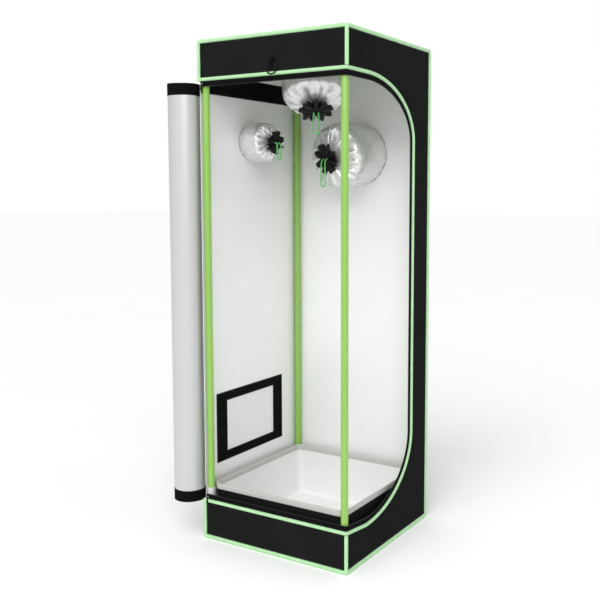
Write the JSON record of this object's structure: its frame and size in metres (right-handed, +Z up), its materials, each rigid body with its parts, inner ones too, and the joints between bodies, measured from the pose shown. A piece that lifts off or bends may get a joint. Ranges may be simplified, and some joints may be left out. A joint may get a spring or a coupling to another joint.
{
  "type": "indoor growing tent",
  "caption": "Tall square growing tent on a pole frame: lined fabric walls, wrap-round zip doorway with the door rolled up, drawstring duct sleeves, vent window and spill tray.",
  "frame": {"origin": "on the ground, at the middle of the square footprint, on the floor panel's underside", "axes": "+Z up; -Y is the front, where the doorway and its zip are; +X is the side that the doorway wraps round to; the rolled door stands beside the front left corner, at -X"},
  "size_m": [0.732, 0.67, 1.78],
  "materials": {
    "outer_cloth": "black woven polyester outside, silver film lining inside",
    "tray_cloth": "coated cloth, black outside, pale silver inside",
    "cuff_cloth": "black woven, gathered",
    "hem_cloth": "black woven",
    "tape_cloth": "black woven tape",
    "white_webbing": "white webbing",
    "foil_lining": "silver film on cloth, softly crinkled",
    "binding": "mint green bias binding",
    "drawstring": "green braided cord",
    "vent_mesh": "fine white mesh",
    "pole_paint": "glossy powder coat",
    "corner_plastic": "white moulded",
    "clip_plastic": "black moulded",
    "slider_metal": "black enamel",
    "ring_metal": "black enamel"
  },
  "bodies": {
    "tent": {"back_wall": "outer_cloth", "corner_lower_back_left": "corner_plastic", "corner_lower_back_right": "corner_plastic", "corner_lower_front_left": "corner_plastic", "corner_lower_front_right": "corner_plastic", "corner_upper_back_left": "corner_plastic", "corner_upper_back_right": "corner_plastic", "corner_upper_front_left": "corner_plastic", "corner_upper_front_right": "corner_plastic", "cuff_back": "cuff_cloth", "cuff_left": "cuff_cloth", "cuff_roof": "cuff_cloth", "drawstring_back": "drawstring", "drawstring_left": "drawstring", "drawstring_roof": "drawstring", "floor_panel": "outer_cloth", "front_lower_band": "outer_cloth", "front_top_band": "outer_cloth", "left_wall": "outer_cloth", "piping_back_left": "binding", "piping_back_right": "binding", "piping_bottom": "binding", "piping_doorway": "binding", "piping_top": "binding", "pole_strap": "white_webbing", "rail_lower_back": "pole_paint", "rail_lower_front": "pole_paint", "rail_lower_left": "pole_paint", "rail_lower_right": "pole_paint", "rail_upper_back": "pole_paint", "rail_upper_front": "pole_paint", "rail_upper_left": "pole_paint", "rail_upper_right": "pole_paint", "right_wall": "outer_cloth", "ring_tab": "tape_cloth", "roof_panel": "outer_cloth", "sleeve_back": "foil_lining", "sleeve_left": "foil_lining", "sleeve_roof": "foil_lining", "upright_back_left": "pole_paint", "upright_back_right": "pole_paint", "upright_front_left": "pole_paint", "upright_front_right": "pole_paint", "vent_border": "tape_cloth", "vent_mesh": "vent_mesh", "zip_tape": "tape_cloth"},
    "door": {"door_roll": "foil_lining", "door_hem_lower": "hem_cloth", "door_hem_upper": "hem_cloth"},
    "tray": {"floor_tray": "tray_cloth"},
    "front_hanging_bar": {"hanging_bar_front": "pole_paint", "bar_clip_front_left": "clip_plastic", "bar_clip_front_right": "clip_plastic"},
    "back_hanging_bar": {"hanging_bar_back": "pole_paint", "bar_clip_back_left": "clip_plastic", "bar_clip_back_right": "clip_plastic"},
    "upper_zip_slider": {"zip_slider_upper": "slider_metal"},
    "lower_zip_slider": {"zip_slider_lower": "slider_metal"},
    "ring": {"hang_ring": "ring_metal"},
    "vent_flap": {"vent_cover": "outer_cloth"}
  },
  "joints": [
    {"name": "door_swing", "type": "hinge", "parent": "tent", "child": "door", "pos_m": [-0.305, -0.305, 0.14], "axis": [0, 0, 1], "range_deg": [-8, 90]},
    {"name": "tray_lift", "type": "slide", "parent": "tent", "child": "tray", "axis": [0, 0, 1], "range_m": [0, 0.25]},
    {"name": "front_bar_slide", "type": "slide", "parent": "tent", "child": "front_hanging_bar", "axis": [0, 1, 0], "range_m": [-0.022, 0.04]},
    {"name": "back_bar_slide", "type": "slide", "parent": "tent", "child": "back_hanging_bar", "axis": [0, 1, 0], "range_m": [-0.055, 0.022]},
    {"name": "upper_slider_run", "type": "slide", "parent": "tent", "child": "upper_zip_slider", "axis": [1, 0, 0], "range_m": [0, 0.52]},
    {"name": "lower_slider_run", "type": "slide", "parent": "tent", "child": "lower_zip_slider", "axis": [1, 0, 0], "range_m": [0, 0.52]},
    {"name": "ring_swing", "type": "hinge", "parent": "tent", "child": "ring", "pos_m": [0.017, -0.309, 1.6785], "axis": [1, 0, 0], "range_deg": [-110, 0]},
    {"name": "vent_cover_fold", "type": "hinge", "parent": "tent", "child": "vent_flap", "pos_m": [-0.3003, -0.022, 0.262], "axis": [0, 1, 0], "range_deg": [0, 180]}
  ]
}
